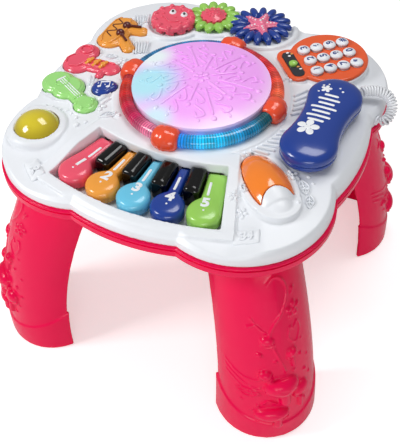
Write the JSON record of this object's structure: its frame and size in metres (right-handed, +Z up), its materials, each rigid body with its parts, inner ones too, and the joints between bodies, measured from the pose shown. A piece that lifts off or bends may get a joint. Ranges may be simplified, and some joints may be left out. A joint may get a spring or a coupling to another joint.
{
  "type": "musical activity table",
  "caption": "Four-legged toddler activity table with a lit drum, fan of piano keys, meshed toy gears, picture buttons and a toy telephone on a curly cord.",
  "frame": {"origin": "on the floor plane under the middle of the table top's plan", "axes": "+Z up, the piano side faces -Y, +X is the telephone side"},
  "size_m": [0.4052, 0.4052, 0.312],
  "materials": {
    "white_plastic": "white, glossy",
    "pink_plastic": "deep pink, glossy",
    "ring_plastic": "clear tube lit in changing colours",
    "circuit_board": "board with lacquer",
    "orange_plastic": "orange, glossy",
    "drum_plastic": "milky, lit from below",
    "spring_steel": "drawn wire",
    "black_plastic": "black, glossy",
    "yellow_plastic": "yellow, glossy",
    "orange_clear_plastic": "tinted, lit from below",
    "pale_green_plastic": "pale green, glossy",
    "coral_plastic": "coral pink, glossy",
    "amber_plastic": "warm orange yellow, glossy",
    "maroon_plastic": "dark red, glossy",
    "blue_plastic": "royal blue, glossy",
    "sky_plastic": "sky blue, glossy",
    "green_plastic": "lime green, glossy",
    "rose_plastic": "rose, glossy",
    "window_plastic": "dark smoked window",
    "dark_plastic": "dark grey, moulded",
    "cell_metal": "wrapped cell",
    "screw_steel": "plated"
  },
  "bodies": {
    "table": {"top_shell": "white_plastic", "base_tray": "pink_plastic", "leg_front_left": "pink_plastic", "leg_front_right": "pink_plastic", "leg_back_right": "pink_plastic", "leg_back_left": "pink_plastic", "light_ring": "ring_plastic", "led_strip": "circuit_board", "ring_clips": "orange_plastic", "drum_springs": "spring_steel", "key_bed": "white_plastic", "black_keys": "black_plastic", "keypad_panel": "orange_plastic", "display_window": "window_plastic", "keypad_board": "circuit_board", "phone_cord": "white_plastic", "cord_grommet": "white_plastic", "button_boards": "circuit_board", "main_board": "circuit_board", "tact_switches": "dark_plastic", "speaker": "dark_plastic", "battery_box": "dark_plastic", "batteries": "cell_metal", "battery_door": "pink_plastic", "screws": "screw_steel"},
    "drum": {"drum_pad": "drum_plastic"},
    "dome": {"dome_button": "yellow_plastic"},
    "egg": {"egg_button": "orange_clear_plastic"},
    "guitar": {"guitar_button": "pale_green_plastic"},
    "trumpet": {"trumpet_button": "coral_plastic", "trumpet_valves": "amber_plastic"},
    "picture_drum": {"drum_button": "amber_plastic", "drum_sticks": "maroon_plastic"},
    "mode": {"mode_button": "blue_plastic"},
    "animal": {"animal_gear": "coral_plastic"},
    "flower": {"flower_gear": "green_plastic", "flower_centre": "coral_plastic"},
    "star": {"star_gear": "blue_plastic", "starfish": "rose_plastic"},
    "call": {"call_button": "green_plastic"},
    "handset": {"handset_cover": "blue_plastic", "handset_base": "blue_plastic"},
    "switch": {"power_switch": "yellow_plastic"},
    "key_1": {"piano_key_1": "coral_plastic"},
    "key_2": {"piano_key_2": "amber_plastic"},
    "key_3": {"piano_key_3": "sky_plastic"},
    "key_4": {"piano_key_4": "blue_plastic"},
    "key_5": {"piano_key_5": "green_plastic"},
    "digit_1": {"number_1": "white_plastic"},
    "digit_2": {"number_2": "white_plastic"},
    "digit_3": {"number_3": "white_plastic"},
    "digit_4": {"number_4": "white_plastic"},
    "digit_5": {"number_5": "white_plastic"},
    "digit_6": {"number_6": "white_plastic"},
    "digit_7": {"number_7": "white_plastic"},
    "digit_8": {"number_8": "white_plastic"},
    "digit_9": {"number_9": "white_plastic"},
    "digit_star": {"number_star": "white_plastic"},
    "digit_0": {"number_0": "white_plastic"},
    "digit_hash": {"number_hash": "white_plastic"}
  },
  "joints": [
    {"name": "drum_press", "type": "slide", "parent": "table", "child": "drum", "axis": [0, 0, -1], "range_m": [0, 0.002], "stiffness_N_per_m": 1200, "springref_m": -0.003, "deforming": ["drum_springs"]},
    {"name": "dome_press", "type": "slide", "parent": "table", "child": "dome", "axis": [0, 0, -1], "range_m": [0, 0.0015], "stiffness_N_per_m": 500, "springref_m": -0.003},
    {"name": "egg_press", "type": "slide", "parent": "table", "child": "egg", "axis": [0, 0, -1], "range_m": [0, 0.0015], "stiffness_N_per_m": 500, "springref_m": -0.003},
    {"name": "guitar_press", "type": "slide", "parent": "table", "child": "guitar", "axis": [0, 0, -1], "range_m": [0, 0.0015], "stiffness_N_per_m": 500, "springref_m": -0.003},
    {"name": "trumpet_press", "type": "slide", "parent": "table", "child": "trumpet", "axis": [0, 0, -1], "range_m": [0, 0.0015], "stiffness_N_per_m": 500, "springref_m": -0.003},
    {"name": "picture_drum_press", "type": "slide", "parent": "table", "child": "picture_drum", "axis": [0, 0, -1], "range_m": [0, 0.0015], "stiffness_N_per_m": 500, "springref_m": -0.003},
    {"name": "mode_press", "type": "slide", "parent": "table", "child": "mode", "axis": [0, 0, -1], "range_m": [0, 0.0015], "stiffness_N_per_m": 500, "springref_m": -0.003},
    {"name": "key_1_press", "type": "hinge", "parent": "table", "child": "key_1", "pos_m": [-0.05764, -0.07317, 0.268], "axis": [0.9703, -0.2419, 0], "range_deg": [0, 2.4], "stiffness_Nm_per_rad": 0.5, "springref_deg": -8.59},
    {"name": "key_2_press", "type": "hinge", "parent": "table", "child": "key_2", "pos_m": [-0.03003, -0.07829, 0.268], "axis": [0.9925, -0.1219, 0], "range_deg": [0, 2.4], "stiffness_Nm_per_rad": 0.5, "springref_deg": -8.59},
    {"name": "key_3_press", "type": "hinge", "parent": "table", "child": "key_3", "pos_m": [-0.002, -0.08, 0.268], "axis": [1, 0, 0], "range_deg": [0, 2.4], "stiffness_Nm_per_rad": 0.5, "springref_deg": -8.59},
    {"name": "key_4_press", "type": "hinge", "parent": "table", "child": "key_4", "pos_m": [0.02603, -0.07829, 0.268], "axis": [0.9925, 0.1219, 0], "range_deg": [0, 2.4], "stiffness_Nm_per_rad": 0.5, "springref_deg": -8.59},
    {"name": "key_5_press", "type": "hinge", "parent": "table", "child": "key_5", "pos_m": [0.05364, -0.07317, 0.268], "axis": [0.9703, 0.2419, 0], "range_deg": [0, 2.4], "stiffness_Nm_per_rad": 0.5, "springref_deg": -8.59},
    {"name": "star_spin", "type": "hinge", "parent": "table", "child": "star", "pos_m": [0.0085, 0.149, 0.2866], "axis": [0, 0, 1], "continuous": true},
    {"name": "flower_spin", "type": "hinge", "parent": "table", "child": "flower", "pos_m": [-0.05, 0.14388, 0.2866], "axis": [0, 0, 1], "continuous": true},
    {"name": "animal_spin", "type": "hinge", "parent": "table", "child": "animal", "pos_m": [-0.09122, 0.11813, 0.2866], "axis": [0, 0, 1], "continuous": true},
    {"name": "call_press", "type": "slide", "parent": "table", "child": "call", "axis": [0, 0, -1], "range_m": [0, 0.0012], "stiffness_N_per_m": 500, "springref_m": -0.003},
    {"name": "digit_1_press", "type": "slide", "parent": "table", "child": "digit_1", "axis": [0, 0, -1], "range_m": [0, 0.0012], "stiffness_N_per_m": 400, "springref_m": -0.003},
    {"name": "digit_2_press", "type": "slide", "parent": "table", "child": "digit_2", "axis": [0, 0, -1], "range_m": [0, 0.0012], "stiffness_N_per_m": 400, "springref_m": -0.003},
    {"name": "digit_3_press", "type": "slide", "parent": "table", "child": "digit_3", "axis": [0, 0, -1], "range_m": [0, 0.0012], "stiffness_N_per_m": 400, "springref_m": -0.003},
    {"name": "digit_4_press", "type": "slide", "parent": "table", "child": "digit_4", "axis": [0, 0, -1], "range_m": [0, 0.0012], "stiffness_N_per_m": 400, "springref_m": -0.003},
    {"name": "digit_5_press", "type": "slide", "parent": "table", "child": "digit_5", "axis": [0, 0, -1], "range_m": [0, 0.0012], "stiffness_N_per_m": 400, "springref_m": -0.003},
    {"name": "digit_6_press", "type": "slide", "parent": "table", "child": "digit_6", "axis": [0, 0, -1], "range_m": [0, 0.0012], "stiffness_N_per_m": 400, "springref_m": -0.003},
    {"name": "digit_7_press", "type": "slide", "parent": "table", "child": "digit_7", "axis": [0, 0, -1], "range_m": [0, 0.0012], "stiffness_N_per_m": 400, "springref_m": -0.003},
    {"name": "digit_8_press", "type": "slide", "parent": "table", "child": "digit_8", "axis": [0, 0, -1], "range_m": [0, 0.0012], "stiffness_N_per_m": 400, "springref_m": -0.003},
    {"name": "digit_9_press", "type": "slide", "parent": "table", "child": "digit_9", "axis": [0, 0, -1], "range_m": [0, 0.0012], "stiffness_N_per_m": 400, "springref_m": -0.003},
    {"name": "digit_star_press", "type": "slide", "parent": "table", "child": "digit_star", "axis": [0, 0, -1], "range_m": [0, 0.0012], "stiffness_N_per_m": 400, "springref_m": -0.003},
    {"name": "digit_0_press", "type": "slide", "parent": "table", "child": "digit_0", "axis": [0, 0, -1], "range_m": [0, 0.0012], "stiffness_N_per_m": 400, "springref_m": -0.003},
    {"name": "digit_hash_press", "type": "slide", "parent": "table", "child": "digit_hash", "axis": [0, 0, -1], "range_m": [0, 0.0012], "stiffness_N_per_m": 400, "springref_m": -0.003},
    {"name": "handset_lift", "type": "slide", "parent": "table", "child": "handset", "axis": [0, 0, 1], "range_m": [0, 0.06]},
    {"name": "switch_slide", "type": "slide", "parent": "table", "child": "switch", "axis": [1, 0, 0], "range_m": [-0.005, 0.005]}
  ],
  "couplings": [
    {"joint": "flower_spin", "follows": "star_spin", "ratio": -1.2308},
    {"joint": "animal_spin", "follows": "star_spin", "ratio": 1.4545}
  ]
}
